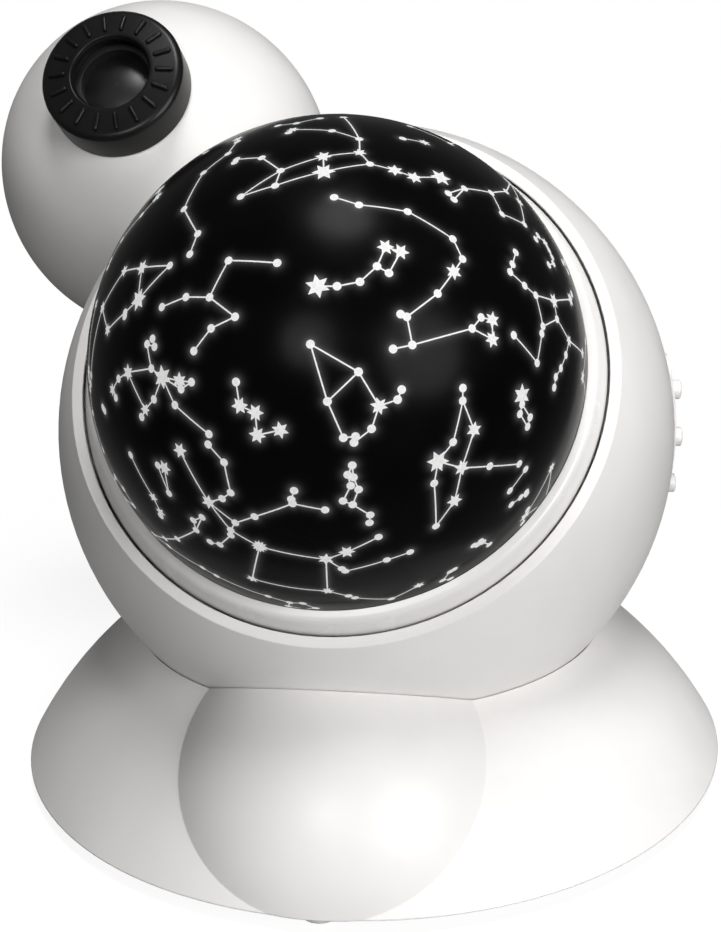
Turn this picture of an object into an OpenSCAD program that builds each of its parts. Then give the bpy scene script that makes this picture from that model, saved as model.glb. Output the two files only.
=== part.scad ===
// Home planetarium projector: a two-part ball that carries a turning star dome,
// a side pod with a focusing picture lens, and a flared base with a front lobe and battery bay.
// Millimetres. Origin on the table at the centre of the footprint box, +Z up, the dome looks to -Y.

/* [Ball] */
// Outer radius of the main ball
ball_r = 80; // [79:0.25:82]
// Height of the ball centre over the table
ball_height = 87; // [86:0.25:89]
// Wall of every moulded shell
wall = 2.4; // [2:0.1:2.6]
// Height of the flat the ball stands on
ball_floor = 26; // [25.5:0.25:26.5]
// Radius of the wire opening in the ball floor and in the seat
floor_hole_r = 38; // [34:0.5:38.5]
// Turn of the shell seam away from the front
seam_turn = 15; // [13:0.5:17]
// Tilt of the shell seam axis above the horizon
seam_tilt = 36; // [35:0.5:38]
// Distance of the seam behind the ball centre
seam_back = 4; // [3:0.25:5]

/* [Star dome] */
// Tilt of the star axis above the horizon
dome_tilt = 32.7; // [31.5:0.1:34]
// Radius of the star dome
dome_r = 56.6; // [56:0.1:57]
// Height of the star dome over its rim
dome_rise = 54.2; // [52:0.1:54.8]
// Wall of the star dome
dome_wall = 1.4; // [1.2:0.1:1.6]
// Distance of the dome rim from the ball centre
dome_seat = 52; // [51.6:0.1:52.4]
// Distance of the flat front lip from the ball centre
lip_axial = 47.6; // [47.4:0.1:48]
// Width of the dark gap round the collar
collar_gap = 0.5; // [0.4:0.05:0.7]

/* [Drive] */
// Gear module
gear_module = 1.5; // [1.5:0.01:1.51]
// Teeth of the ring gear
ring_teeth = 72; // [72:1:72]
// Teeth of the motor pinion
pinion_teeth = 12; // [12:1:12]
// Running clearance of a plain bearing, radial
run_fit = 0.05; // [0.03:0.01:0.08]
// Thickness of the star deck
deck_t = 2.5; // [2.2:0.1:2.6]

/* [Base] */
// Radius of the base rim
base_r = 95; // [94.5:0.25:96]
// Height of the base rim over the table
rim_height = 4; // [3.6:0.1:4.4]
// Radius of the curved side of the skirt
skirt_r = 100; // [98:0.5:102]
// Radius of the front lobe of the base
lobe_r = 47.8; // [47.4:0.1:48.2]
// Depth of the lobe centre below the rim
lobe_drop = 1.9; // [1.6:0.1:2.2]
// Gap between the ball and its seat
seat_gap = 0.2; // [0.15:0.05:0.3]

/* [Pod] */
// Outer radius of the pod
pod_r = 50; // [49.5:0.1:50.5]
// Pod centre to the left of the ball centre
pod_left = 69.7; // [69:0.1:70.5]
// Pod centre behind the ball centre
pod_back = 67.3; // [66.5:0.1:68]
// Pod centre above the ball centre
pod_up = 63.9; // [63:0.1:64.5]
// Radius of the small end of the pod neck
neck_r = 30; // [29:0.5:31]
// Tilt of the lens axis above the horizon
lens_tilt = 31.5; // [31:0.1:32]
// Radius of the focus ring
ring_r = 19.6; // [19.3:0.1:20]
// Distance of the focus ring face from the pod centre
ring_face = 57.2; // [57:0.1:57.6]
// Radius of the open mouth of the focus ring
mouth_r = 10.3; // [9.8:0.1:10.6]
// Radius of the lens barrel
barrel_r = 13.5; // [13.3:0.1:13.7]
// Radius of the picture disc
disc_r = 30; // [29.8:0.1:30.1]
// Distance of the disc pin from the lens axis
disc_offset = 21; // [20.8:0.1:21.1]
// Direction of the disc pin round the lens axis
disc_turn = 123; // [121:0.5:125]

/* [Buttons] */
// Turn of the button panel behind the side
panel_turn = 3; // [2:0.5:4]
// Spacing of the three buttons
button_pitch = 12.6; // [12.2:0.1:12.8]
// Radius of a button
button_r = 2.5; // [2.3:0.1:2.6]
// Height a button stands proud of the panel
button_rise = 2; // [1.6:0.1:2.2]
// Free gap between a moving button and its hole
button_gap = 0.3; // [0.3:0.05:0.4]

/* [Cells] */
// Radius of an AA cell
cell_r = 7.25; // [7.2:0.01:7.25]
// Length of an AA cell over its stud
cell_l = 50.5; // [50:0.1:50.5]

/* [Fasteners] */
// Shank radius of the screws
screw_r = 1.45; // [1.4:0.05:1.5]
// Head radius of the screws
head_r = 2.6; // [2.5:0.1:2.7]

/* [View] */
// Sub-part to show

/* [Hidden] */
$fn = 72;
// common clearances and fastener sizes
screw_fit = 0.05;
pass_fit = 0.3;
lay_gap = 0.1;
head_h = 2;
big = 260;
tiny = 0.01;
pilot_r = screw_r + screw_fit;
clear_r = screw_r + pass_fit;
well_r = head_r + pass_fit;
ball_in = ball_r - wall;
// base
skirt_drop = 51;
skirt_centre_z = rim_height - skirt_drop;
skirt_centre_r = base_r - sqrt(skirt_r * skirt_r - skirt_drop * skirt_drop);
core_top = 32;
lobe_proud = 0.5;
lobe_out = base_r + lobe_proud - sqrt(lobe_r * lobe_r - lobe_drop * lobe_drop);
lobe_z = rim_height - lobe_drop;
plate_top = rim_height + wall;
post_r = 4;
post_reach = 40;
post_inset = 21;
post_out = base_r - post_inset;
post_turns = [30, 150, 270];
post_depth = 14;
foot_r = 4.5;
foot_inset = 8.5;
foot_out = base_r - foot_inset;
foot_sink = 0.8;
// floor fixing
clamp_w = 7;
clamp_in = floor_hole_r + 2.5;
clamp_out = clamp_in + clamp_w;
clamp_t = 4;
floor_in_top = ball_floor + wall;
clamp_z = floor_in_top + lay_gap;
floor_screw_out = clamp_in + clamp_w / 2;
floor_turns = [-68, 50, 170];
floor_screw_l = 8;
// battery bay
cell_pitch = 2 * cell_r + 1.1;
bay_x = cell_l + 4.5;
bay_y = 3 * cell_pitch + 1;
bay_wall = 4;
bay_ledge = 2;
bay_top = plate_top + 2 * cell_r + 1.2;
cell_z = plate_top + 0.4 + cell_r;
door_gap = 0.3;
door_x = bay_x + 2 * bay_ledge;
door_y = bay_y + 2 * bay_ledge;
door_t = wall - 0.2;
ear_r = 4;
ear_h = 11;
grip_l = 10;
grip_pitch = 2.4;
base_screw_l = 9;
ear_x = door_x / 2 + 3;
tongue_w = 8;
tongue_t = 1;
tongue_l = 1.4;
tongue_y = 14;
contact_t = 0.4;
contact_w = 9;
contact_h = 11;
stud_r = 2.7;
stud_l = 1.2;
// jack
jack_z = rim_height + 11;
jack_inset = 14.5;
jack_face = base_r - jack_inset;
jack_nose_r = 4.4;
jack_bore_r = 3.2;
jack_pin_r = 1;
jack_w = 10;
jack_d = 12;
jack_pad_r = 8.6;
jack_recess_r = 6.4;
// star axis stations, distances from the ball centre
lip_r = sqrt(ball_r * ball_r - lip_axial * lip_axial);
bore_r = lip_r - 2.5;
deck_sink = 11.6;
deck_z = lip_axial - deck_sink;
deck_top = deck_z + deck_t;
deck_r = bore_r - 0.6;
ledge_t = 2.5;
ledge_w = 3;
deck_screw_out = gear_module * ring_teeth / 2;
ledge_in = deck_screw_out - ledge_w;
deck_turns = [60, 180, 300];
gear_z = deck_top + 3;
gear_h = 3.7;
gear_top = gear_z + gear_h;
run_gap = 0.3;
track_top = gear_z - run_gap;
ring_pitch_r = gear_module * ring_teeth / 2;
pinion_pitch_r = gear_module * pinion_teeth / 2;
gear_reach = ring_pitch_r - pinion_pitch_r;
ring_tip_r = ring_pitch_r - 0.75 * gear_module;
ring_root_r = ring_pitch_r + 1.2 * gear_module;
pinion_tip_r = pinion_pitch_r + 0.9 * gear_module;
pinion_root_r = pinion_pitch_r - 1.15 * gear_module;
tooth_play = 0.16;
ring_back = 1.4;
ring_out_r = ring_root_r + ring_back;
track_w = 2.6;
track_in = ring_out_r + 0.2;
track_out = track_in + track_w;
collar_r = bore_r - collar_gap;
collar_shelf = gear_top + 2.4;
hub_inset = 7;
hub_wall = 2.2;
hub_r = dome_r - hub_inset;
hub_in = hub_r - hub_wall;
hub_top = collar_shelf + 0.35;
collar_bore_r = hub_r + run_fit;
collar_crest = dome_seat - 0.2;
dome_ball_r = (dome_r * dome_r + dome_rise * dome_rise) / (2 * dome_rise);
dome_ball_z = dome_seat + dome_rise - dome_ball_r;
// the footprint box is centred on the origin
dome_front = dome_ball_z * cos(dome_tilt) + dome_ball_r;
shift_x = (pod_left + pod_r - base_r) / 2;
shift_y = (dome_front - pod_back - pod_r) / 2;
keeper_t = 1.2;
keeper_lip = 3.8;
keeper_out = hub_r + keeper_lip;
keeper_turns = [30, 150, 270];
keeper_screw_r = 0.6;
keeper_pilot_r = keeper_screw_r + screw_fit;
motor_w = 12;
motor_d = 10;
motor_l = 24;
motor_turn = 210;
shaft_r = 1.5;
shaft_sink = 9;
motor_screw_off = 4.5;
motor_screw_r = 0.8;
lamp_post_r = 3;
lamp_post_top = dome_seat - 4;
lamp_board_r = 5;
lamp_board_t = 1.2;
// pod
neck_left = 18.5;
neck_back = 38.2;
neck_drop = 21.2;
neck_step = 1;
pod_v = [neck_left - pod_left, pod_back - neck_back, pod_up + neck_drop];
neck_len = norm(pod_v);
neck_dir = pod_v / neck_len;
neck_lean = acos(neck_dir[2]);
neck_spin = atan2(neck_dir[0], -neck_dir[1]);
neck_taper = asin((pod_r - neck_r) / neck_len);
lens_dir = [0, -cos(lens_tilt), sin(lens_tilt)];
part_raw = lens_dir - (lens_dir * neck_dir) * neck_dir;
part_dir = part_raw / norm(part_raw);
part_lean = acos(part_dir[2]);
part_spin = atan2(part_dir[0], -part_dir[1]);
pod_gap = 0.15;
foot_lean = 68;
foot_spin = -138.5;
foot_screw_off = 17;
foot_turns = [184, 274];
foot_wire_off = 11;
foot_wire_turn = 229;
foot_wire_r = 6;
foot_boss_r = 4;
foot_boss_h = 8;
pod_spots = [[37.6, 13.7], [-26.8, -29.7], [35, -16]];
pod_boss_r = 3.7;
pod_boss_depth = 9;
// lens stations, distances from the pod centre
disc_z = 9;
disc_t = 1.2;
film_t = 0.3;
film_edge = 2;
film_in = 8;
frame_z = 4;
frame_t = 3;
frame_r = disc_r;
frame_post_out = 36;
frame_post_r = 3.6;
frame_turns = [disc_turn - 80, disc_turn + 80, disc_turn + 135];
frame_top = frame_z + frame_t;
pin_r = 2.5;
pin_top = disc_z + disc_t + 1.6;
disc_bore_r = pin_r + run_fit;
window_r = 5.4;
window_n = 8;
slot_h = disc_t + 1.6;
slot_z = disc_z + disc_t / 2;
condenser_r = 9;
lamp_z = -8;
lamp_plate_r = 15.5;
lamp_plate_t = 1.6;
lamp_leg_r = 2.2;
lamp_leg_out = 12.6;
sink_r = 13;
sink_t = 12;
fin_n = 5;
fin_gap = 1.6;
flange_z = 40;
flange_t = 2;
flange_r = 20;
flange_screw_out = 17;
flange_screw_r = 0.9;
flange_pilot_r = flange_screw_r + screw_fit;
barrel_wall = 1.95;
barrel_in_r = barrel_r - barrel_wall;
barrel_sink = 2.2;
barrel_top = ring_face - barrel_sink;
rim_r = barrel_r + 1.2;
rim_t = 1.4;
mouth_t = 1.8;
ring_bore_r = barrel_r + run_fit;
recess_top = ring_face - mouth_t;
recess_bottom = barrel_top - rim_t - 0.3;
hug_gap = 0.4;
cell_ring_r = barrel_in_r - run_fit;
cell_ring_wall = 1.9;
cell_ring_in = cell_ring_r - cell_ring_wall;
cell_ring_l = 8;
cell_ring_sink = 10.6;
cell_ring_z = barrel_top - cell_ring_sink;
lens_step = 4.2;
lens_mid = cell_ring_z + lens_step;
lens_edge = 1.6;
lens_ball_r = 26;
bar_n = 18;
bar_w = 1.8;
bar_in = 12.2;
bar_out = 17;
bar_h = 0.7;
// buttons
panel_proud = 0.6;
panel_in_r = ball_r - 1.4;
cut_low = ball_r - 20;
cut_l = 40;
panel_half_l = 21;
panel_half_w = 4.9;
panel_fit = 0.1;
button_mid = 1;
button_spots = [button_mid - button_pitch, button_mid, button_mid + button_pitch];
button_root = 8.8;
button_bottom = ball_r - button_root;
flange_sink = 4.8;
key_flange_t = 1.2;
flange_low = ball_r - flange_sink;
flange_high = flange_low + key_flange_t;
button_flange_r = 3.2;
shell_hole_r = button_flange_r + button_gap + 0.2;
pip_r = 0.8;
pip_up = 4.4;
pip_rise = 0.3;
board_sink = 16;
board_z = ball_r - board_sink;
board_t = 1.6;
board_half_l = 22;
board_front = 11;
board_rear = 5;
board_post_y = -8;
board_post_x = [-18, 18];
board_post_r = 2.8;
board_screw_l = 6;
switch_w = 6;
switch_h = 3.5;
plunger_r = 1.7;
plunger_h = 0.8;
// seam screws
seam_screw_inset = 6;
seam_screw_out = ball_r - seam_screw_inset;
seam_turns = [38, 185];
seam_boss_r = 4;
seam_boss_front = 10;
seam_boss_rear = 9;

// ---------- frames ----------
module placed() translate([shift_x, shift_y, 0]) children();
module at_ball() translate([0, 0, ball_height]) children();
module star_axis() at_ball() rotate([90 - dome_tilt, 0, 0]) children();
module seam_axis() at_ball() rotate([90 - seam_tilt, 0, seam_turn]) children();
module panel_axis() at_ball() rotate([0, 0, panel_turn]) rotate([0, 90, 0]) children();
module at_pod() at_ball() translate([-pod_left, pod_back, pod_up]) children();
module lens_axis() at_pod() rotate([90 - lens_tilt, 0, 0]) children();
module part_axis() at_pod() rotate([part_lean, 0, part_spin]) children();
module neck_axis() at_ball() translate([-neck_left, neck_back, -neck_drop])
  rotate([neck_lean, 0, neck_spin]) children();
module foot_axis() at_ball() rotate([foot_lean, 0, foot_spin]) children();
module around(turns, out) for (t = turns) rotate([0, 0, t]) translate([out, 0, 0]) children();

// ---------- shared shapes ----------
module ring(r_out, r_in, h) difference() {
  cylinder(h = h, r = r_out);
  translate([0, 0, -1]) cylinder(h = h + 2, r = r_in);
}
module screw(l, r = screw_r, hr = head_r, hh = head_h) union() {
  cylinder(h = l, r = r);
  difference() {
    translate([0, 0, -hh]) cylinder(h = hh, r = hr);
    translate([-hr * 0.6, -0.4, -hh - tiny]) cube([hr * 1.2, 0.8, hh * 0.4]);
    translate([-0.4, -hr * 0.6, -hh - tiny]) cube([0.8, hr * 1.2, hh * 0.4]);
  }
}
module ball_round(r, front) {
  if (front) at_ball() sphere(r = r, $fn = 144);
  else seam_axis() sphere(r = r, $fn = 144);
}
module ball_solid(grow, front = true) intersection() {
  ball_round(ball_r + grow, front);
  translate([-big / 2, -big / 2, ball_floor - grow]) cube([big, big, big]);
}
module skirt_solid(inset, low) rotate_extrude($fn = 180) union() {
  intersection() {
    translate([skirt_centre_r, skirt_centre_z]) circle(r = skirt_r - inset, $fn = 180);
    translate([skirt_centre_r / 2, low]) square([big, big]);
  }
  translate([0, low]) square([skirt_centre_r, core_top - low]);
}
module lobe_solid(inset, low) intersection() {
  translate([0, -lobe_out, lobe_z]) sphere(r = lobe_r - inset, $fn = 144);
  translate([-big / 2, -big / 2, low]) cube([big, big, big]);
}
module base_solid(inset, low) union() {
  skirt_solid(inset, low);
  lobe_solid(inset, low);
}
// point r(alpha) of an involute tooth flank, half angle at radius r
function inv_deg(a) = tan(a) * 180 / PI - a;
function half_tooth(n, r, play) =
  let (rb = gear_module * n / 2 * cos(20), rr = max(r, rb), a = acos(min(1, rb / rr)))
  90 / n + play / (gear_module * n / 2) * 180 / PI + inv_deg(20) - inv_deg(a);
function tooth_pts(n, r1, r2, play, steps = 4) = [for (i = [0 : n - 1]) each concat(
  [for (k = [0 : steps])
    let (r = r1 + (r2 - r1) * k / steps, h = half_tooth(n, r, play), c = 360 / n * i)
      [r * cos(c - h), r * sin(c - h)]],
  [for (k = [steps : -1 : 0])
    let (r = r1 + (r2 - r1) * k / steps, h = half_tooth(n, r, play), c = 360 / n * i)
      [r * cos(c + h), r * sin(c + h)]])];

// ---------- base ----------
module base_shell() color("#f3f2ef") placed() difference() {
  union() {
    difference() {
      base_solid(0, rim_height);
      difference() {
        base_solid(wall, -1);
        ball_solid(seat_gap + wall);
      }
    }
    intersection() {
      around(post_turns, post_out) translate([0, 0, plate_top + lay_gap])
        cylinder(h = post_reach, r = post_r);
      base_solid(wall / 2, 0);
    }
    intersection() {
      translate([0, jack_face - 4, jack_z]) rotate([-90, 0, 0]) cylinder(h = 12, r = jack_pad_r);
      base_solid(wall / 2, 0);
    }
  }
  ball_solid(seat_gap);
  cylinder(h = ball_floor + 1, r = floor_hole_r);
  around(post_turns, post_out) cylinder(h = plate_top + post_depth, r = pilot_r);
  around(floor_turns, floor_screw_out) translate([0, 0, ball_floor - 8]) cylinder(h = 10, r = clear_r);
  translate([0, jack_face, jack_z]) rotate([-90, 0, 0]) cylinder(h = 20, r = jack_recess_r);
  translate([0, jack_face - 10, jack_z]) rotate([-90, 0, 0]) cylinder(h = 12, r = jack_nose_r + lay_gap);
}
module base_plate() color("#e4e3e0") placed() difference() {
  union() {
    intersection() {
      base_solid(wall + lay_gap, 0);
      translate([-big / 2, -big / 2, rim_height]) cube([big, big, wall]);
    }
    translate([-bay_x / 2 - bay_wall, -bay_y / 2 - bay_wall, rim_height])
      cube([bay_x + 2 * bay_wall, bay_y + 2 * bay_wall, bay_top - rim_height]);
    translate([ear_x, 0, rim_height]) cylinder(h = ear_h, r = ear_r + 2);
  }
  translate([-bay_x / 2, -bay_y / 2, 0]) cube([bay_x, bay_y, 60]);
  translate([-door_x / 2, -door_y / 2, 0]) cube([door_x, door_y, plate_top]);
  translate([ear_x, 0, 0]) cylinder(h = plate_top, r = ear_r + door_gap);
  translate([ear_x - 4, -ear_r - door_gap, 0]) cube([4, 2 * (ear_r + door_gap), plate_top]);
  translate([ear_x, 0, 0]) cylinder(h = 11.5, r = pilot_r);
  for (y = [-tongue_y, tongue_y])
    translate([-door_x / 2 - tongue_l, y - tongue_w / 2 - door_gap, plate_top - tongue_t - 2
      * door_gap]) cube([tongue_l + 1, tongue_w + 2 * door_gap, tongue_t + 2 * door_gap]);
  around(post_turns, post_out) cylinder(h = 10, r = clear_r);
  around(post_turns, post_out) cylinder(h = rim_height + 1, r = well_r);
  around(post_turns, foot_out) cylinder(h = rim_height + foot_sink, r = foot_r + lay_gap);
  for (y = [-cell_pitch, 0, cell_pitch]) translate([-bay_x, y - 1, bay_top - 3])
    cube([bay_x / 2 + 1, 2, 2]);
}
module battery_door() color("#e4e3e0") placed() difference() {
  union() {
    translate([-door_x / 2 + door_gap, -door_y / 2 + door_gap, rim_height])
      cube([door_x - 2 * door_gap, door_y - 2 * door_gap, door_t]);
    translate([ear_x, 0, rim_height]) cylinder(h = door_t, r = ear_r);
    translate([ear_x - 4, -ear_r, rim_height]) cube([4, 2 * ear_r, door_t]);
    for (y = [-tongue_y, tongue_y])
      translate([-door_x / 2 - tongue_l + door_gap, y - tongue_w / 2, rim_height + door_t - tongue_t])
        cube([tongue_l + 1, tongue_w, tongue_t]);
  }
  translate([ear_x, 0, 0]) cylinder(h = 10, r = clear_r);
  translate([ear_x, 0, 0]) cylinder(h = rim_height + 1.2, r = well_r);
  for (i = [-3 : 3]) translate([-door_x / 2 + 4, i * grip_pitch - 0.5, rim_height - 1])
    cube([grip_l, 1, 1.5]);
}
module door_screw() color("#9a9c9f") placed() translate([ear_x, 0, rim_height + 1.2]) screw(6, hh = 1.2);
module base_screws() color("#9a9c9f") placed() around(post_turns, post_out)
  translate([0, 0, rim_height + 1]) screw(base_screw_l, hh = 1);
module rubber_feet() color("#d9d8d4") placed() around(post_turns, foot_out)
  cylinder(h = rim_height + foot_sink, r = foot_r);
module cells() color("#c9a54a") placed() for (y = [-cell_pitch, 0, cell_pitch])
  translate([-cell_l / 2, y, cell_z]) rotate([0, 90, 0]) union() {
  cylinder(h = cell_l - stud_l, r = cell_r);
  cylinder(h = cell_l, r = stud_r);
}
module cell_contacts() color("#c4c6c8") placed() for (y = [-cell_pitch, 0, cell_pitch]) for (s = [-1, 1]) {
  translate([s * (bay_x / 2 - contact_t / 2), y, cell_z])
    cube([contact_t, contact_w, contact_h], center = true);
  translate([s * (cell_l / 2 + 0.75), y, cell_z]) cube([1.5, 4, 5], center = true);
  translate([s * (cell_l / 2 + 1.4), y, cell_z]) cube([1.2, 4, 3], center = true);
}
module dc_jack() color("#1b1b1c") placed() difference() {
  union() {
    translate([0, jack_face - 4 - jack_d, jack_z]) rotate([-90, 0, 0])
      cylinder(h = jack_d + 4, r = jack_nose_r);
    translate([-jack_w / 2, jack_face - 4 - jack_d, jack_z - jack_w / 2]) cube([jack_w, jack_d, jack_w]);
  }
  translate([0, jack_face - 9, jack_z]) rotate([-90, 0, 0]) ring(jack_bore_r, jack_pin_r, 10);
}

// ---------- ball ----------
module ball_shell(front) difference() {
  ball_solid(0, front);
  intersection() {
    ball_round(ball_in, front);
    translate([-big / 2, -big / 2, floor_in_top]) cube([big, big, big]);
  }
  cylinder(h = floor_in_top + 1, r = floor_hole_r);
  around(floor_turns, floor_screw_out) translate([0, 0, ball_floor - 2])
    cylinder(h = wall + 4, r = clear_r);
}
module seam_bosses(front) intersection() {
  at_ball() sphere(r = ball_in + wall / 2, $fn = 144);
  seam_axis() around(seam_turns, seam_screw_out)
    translate([0, 0, front ? -seam_back + lay_gap : -seam_back - 50])
      cylinder(h = front ? seam_boss_front : 50, r = seam_boss_r);
}
module front_half() seam_axis() translate([-big / 2, -big / 2, -seam_back]) cube([big, big, big]);
module front_shell() color("#f6f5f2") placed() difference() {
  union() {
    intersection() {
      ball_shell(true);
      front_half();
    }
    seam_bosses(true);
    intersection() {
      star_axis() translate([0, 0, deck_z - ledge_t]) ring(big / 4 + 10, ledge_in, ledge_t);
      at_ball() sphere(r = ball_in + wall / 2, $fn = 144);
    }
    intersection() {
      panel_axis() for (x = board_post_x) translate([x, board_post_y, board_z + board_t])
        cylinder(h = 20, r = board_post_r);
      at_ball() sphere(r = ball_in + wall / 2 - 0.3, $fn = 144);
    }
  }
  star_axis() translate([0, 0, lip_axial]) cylinder(h = big / 2, r = big / 2);
  star_axis() translate([0, 0, deck_z]) cylinder(h = big / 4, r = bore_r);
  star_axis() around(deck_turns, deck_screw_out) translate([0, 0, deck_z - ledge_t - 1])
    cylinder(h = ledge_t + 2, r = pilot_r);
  seam_axis() around(seam_turns, seam_screw_out) translate([0, 0, -seam_back - 1])
    cylinder(h = seam_boss_front - 1, r = pilot_r);
  panel_axis() for (x = board_post_x) translate([x, board_post_y, board_z])
    cylinder(h = 9, r = keeper_pilot_r);
  panel_cut();
}
module panel_outline(grow) union() {
  square([2 * (panel_half_l - panel_half_w), 2 * (panel_half_w + grow)], center = true);
  for (s = [-1, 1]) translate([s * (panel_half_l - panel_half_w), 0]) circle(r = panel_half_w + grow);
}
module panel_cut() panel_axis() union() {
  difference() {
    translate([0, 0, cut_low]) linear_extrude(height = cut_l) panel_outline(panel_fit);
    sphere(r = panel_in_r, $fn = 144);
  }
  for (x = button_spots) translate([x, 0, cut_low]) cylinder(h = cut_l, r = shell_hole_r);
  for (x = button_spots) translate([x - pip_up, 0, cut_low]) cylinder(h = cut_l, r = pip_r + pass_fit);
}
module button_panel() color("#efeeeb") placed() panel_axis() difference() {
  intersection() {
    translate([0, 0, cut_low]) linear_extrude(height = cut_l) panel_outline(0);
    sphere(r = ball_r + panel_proud, $fn = 144);
  }
  sphere(r = panel_in_r, $fn = 144);
  for (x = button_spots) translate([x, 0, cut_low]) cylinder(h = cut_l, r = button_r + button_gap);
  for (x = button_spots) translate([x - pip_up, 0, cut_low]) cylinder(h = cut_l, r = pip_r + screw_fit);
}
module button(x) color("#f6f5f2") placed() panel_axis() translate([x, 0, 0]) union() {
  translate([0, 0, button_bottom])
    cylinder(h = sqrt(pow(ball_r + panel_proud, 2) - x * x) + button_rise - button_bottom, r = button_r);
  translate([0, 0, flange_low]) cylinder(h = flange_high - flange_low, r = button_flange_r);
}
module button_top() button(button_spots[0]);
module button_middle() button(button_spots[1]);
module button_bottom_key() button(button_spots[2]);
module status_pips() color("#cfe0c8") placed() panel_axis() for (x = button_spots)
  translate([x - pip_up, 0, board_z + board_t])
    cylinder(h = sqrt(pow(ball_r + panel_proud, 2) - pow(x - pip_up, 2)) + pip_rise - board_z
      - board_t, r = pip_r);
module control_board() color("#2d6b3c") placed() panel_axis() difference() {
  translate([-board_half_l, -board_front, board_z])
    cube([2 * board_half_l, board_front + board_rear, board_t]);
  for (x = board_post_x) translate([x, board_post_y, board_z - 1])
    cylinder(h = board_t + 2, r = keeper_pilot_r + 0.1);
}
module key_switches() color("#26272a") placed() panel_axis() for (x = button_spots)
  translate([x, 0, board_z + board_t]) union() {
  translate([-switch_w / 2, -switch_w / 2, 0]) cube([switch_w, switch_w, switch_h]);
  cylinder(h = switch_h + plunger_h, r = plunger_r);
}
module board_screws() color("#9a9c9f") placed() panel_axis() for (x = board_post_x)
  translate([x, board_post_y, board_z]) screw(board_screw_l, keeper_screw_r, 1.5, 0.8);
module foot_wire_cut() foot_axis() rotate([0, 0, foot_wire_turn]) translate([foot_wire_off, 0, cut_low])
  cylinder(h = cut_l, r = foot_wire_r);
module rear_shell() color("#f6f5f2") placed() difference() {
  union() {
    difference() {
      ball_shell(false);
      front_half();
    }
    seam_bosses(false);
    intersection() {
      foot_axis() around(foot_turns, foot_screw_off) translate([0, 0, ball_in - foot_boss_h])
        cylinder(h = foot_boss_h + wall, r = foot_boss_r);
      at_ball() sphere(r = ball_in + wall / 2, $fn = 144);
    }
  }
  seam_axis() around(seam_turns, seam_screw_out) translate([0, 0, -seam_back - 20])
    cylinder(h = 22, r = clear_r);
  seam_axis() around(seam_turns, seam_screw_out) translate([0, 0, -seam_back - seam_boss_rear - 60])
    cylinder(h = 60, r = well_r);
  foot_axis() around(foot_turns, foot_screw_off) translate([0, 0, ball_in - 6])
    cylinder(h = 20, r = pilot_r);
  foot_wire_cut();
}
module seam_screws() color("#9a9c9f") placed() seam_axis() around(seam_turns, seam_screw_out)
  translate([0, 0, -seam_back - seam_boss_rear]) screw(15);
module clamp_ring() color("#b9bcc0") placed() difference() {
  translate([0, 0, clamp_z]) ring(clamp_out, clamp_in, clamp_t);
  around(floor_turns, floor_screw_out) translate([0, 0, clamp_z - 1])
    cylinder(h = clamp_t + 2, r = pilot_r);
}
module floor_screws() color("#9a9c9f") placed() around(floor_turns, floor_screw_out)
  translate([0, 0, ball_floor - seat_gap - wall]) screw(floor_screw_l, hh = 1.2);

// ---------- star drive ----------
module star_deck() color("#3a3b3e") placed() star_axis() difference() {
  union() {
    translate([0, 0, deck_z]) cylinder(h = deck_t, r = deck_r);
    translate([0, 0, deck_z + 1]) ring(track_out, track_in, track_top - deck_z - 1);
    translate([0, 0, deck_z + 1]) ring(hub_r, hub_in, hub_top - deck_z - 1);
    around(keeper_turns, hub_in) intersection() {
      translate([0, 0, deck_z + 1]) cylinder(h = hub_top - deck_z - 1, r = 2);
      translate([-hub_in, 0, 0]) cylinder(h = big / 4, r = hub_r - 0.3);
    }
    translate([0, 0, deck_z + 1]) cylinder(h = lamp_post_top - deck_z - 1, r = lamp_post_r);
    translate([0, 0, deck_z + 1]) cylinder(h = deck_t + 1, r = 8);
  }
  around(deck_turns, deck_screw_out) translate([0, 0, deck_z - 1]) cylinder(h = deck_t + 2, r = clear_r);
  around(keeper_turns, hub_in) translate([0, 0, hub_top - 6]) cylinder(h = 8, r = keeper_pilot_r);
  rotate([0, 0, motor_turn]) translate([gear_reach, 0, 0]) {
    translate([0, 0, deck_z - 1]) cylinder(h = deck_t + 2, r = 4);
    translate([0, 0, gear_z - 1]) cylinder(h = gear_h + 1.6, r = pinion_tip_r + 0.6);
    for (s = [-1, 1]) translate([0, s * motor_screw_off, deck_z - 1])
      cylinder(h = deck_t + 2, r = motor_screw_r + 0.1);
  }
}
module deck_screws() color("#9a9c9f") placed() star_axis() around(deck_turns, deck_screw_out)
  translate([0, 0, deck_top]) mirror([0, 0, 1]) screw(4.8, hh = 1.8);
module star_motor() color("#b9bcc0") placed() star_axis() rotate([0, 0, motor_turn])
  translate([gear_reach, 0, 0]) difference() {
  translate([-motor_d / 2, -motor_w / 2, deck_z - motor_l]) cube([motor_d, motor_w, motor_l]);
  translate([0, 0, deck_z - shaft_sink]) cylinder(h = shaft_sink + 1, r = shaft_r + run_fit);
  for (s = [-1, 1]) translate([0, s * motor_screw_off, deck_z - 3])
    cylinder(h = 4, r = motor_screw_r + screw_fit);
}
module motor_shaft() color("#c9ccd0") placed() star_axis() rotate([0, 0, motor_turn])
  translate([gear_reach, 0, deck_z - shaft_sink + run_gap])
    cylinder(h = gear_top - 0.4 - deck_z + shaft_sink - run_gap, r = shaft_r);
module motor_screws() color("#9a9c9f") placed() star_axis() rotate([0, 0, motor_turn])
  translate([gear_reach, 0, 0]) for (s = [-1, 1]) translate([0, s * motor_screw_off, deck_top])
    mirror([0, 0, 1]) screw(5, motor_screw_r, 1.3, 0.7);
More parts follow.
